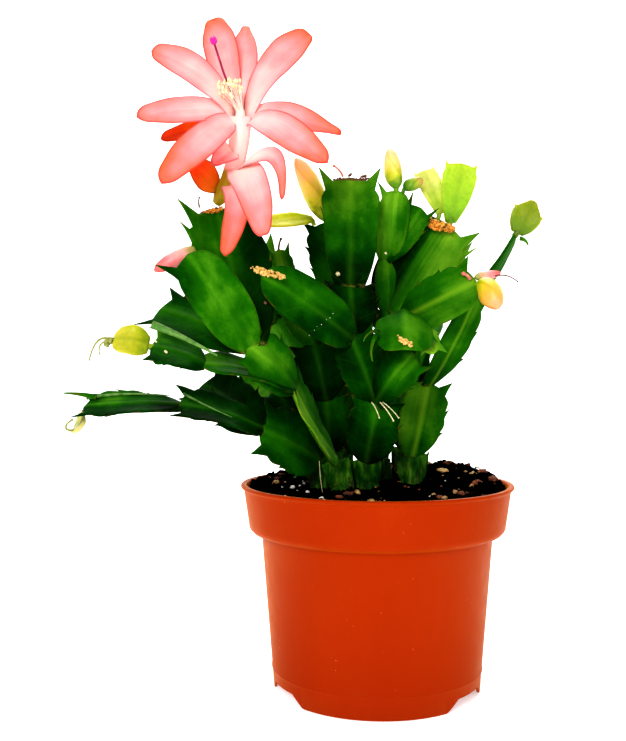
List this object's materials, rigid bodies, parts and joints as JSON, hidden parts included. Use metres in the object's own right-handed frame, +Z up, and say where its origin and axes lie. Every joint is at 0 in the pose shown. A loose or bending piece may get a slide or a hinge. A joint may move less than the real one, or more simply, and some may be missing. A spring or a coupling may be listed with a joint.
{
  "type": "potted christmas cactus",
  "caption": "Christmas cactus of flat toothed segments in flower, with buds, growing in soil in a thin plastic nursery pot.",
  "frame": {"origin": "on the ground under the middle of the whole plant's outline, which lies 24 mm to the left of the pot's axis and 9 mm behind it", "axes": "+Z up the plant, -Y to the front that shows the bloom at the left, +X to the right"},
  "size_m": [0.1768, 0.1378, 0.2552],
  "materials": {
    "pot_plastic": "moulded terracotta orange, soft sheen",
    "peat": "damp crumbly peat with bark chips and perlite",
    "leaf_green": "waxy green skin with paler midribs",
    "young_leaf": "thin translucent lime skin",
    "bud": "satin, orange and yellow over a green base",
    "petal": "silky salmon pink, paler along the middle",
    "stamen": "cream filaments and anthers",
    "pistil": "magenta style and stigma"
  },
  "bodies": {
    "root": {"pot": "pot_plastic", "soil": "peat", "stem_low_left": "leaf_green", "stem_front_left": "leaf_green", "stem_centre": "leaf_green", "stem_right": "leaf_green", "stem_back_right": "leaf_green", "stem_back_left": "leaf_green", "stem_rear_left": "leaf_green", "stem_rear_right": "leaf_green", "young_low_left": "young_leaf", "young_front_left": "young_leaf", "young_back_left": "young_leaf", "young_pale": "young_leaf", "young_lime": "young_leaf", "young_right": "young_leaf", "bud_tall_orange": "bud", "bud_tall_yellow": "bud", "bud_small_top": "bud", "bud_right": "bud", "bud_right_small": "bud", "bud_left_pink": "bud", "flower_petals": "petal", "flower_stamens": "stamen", "flower_pistil": "pistil"}
  },
  "joints": []
}
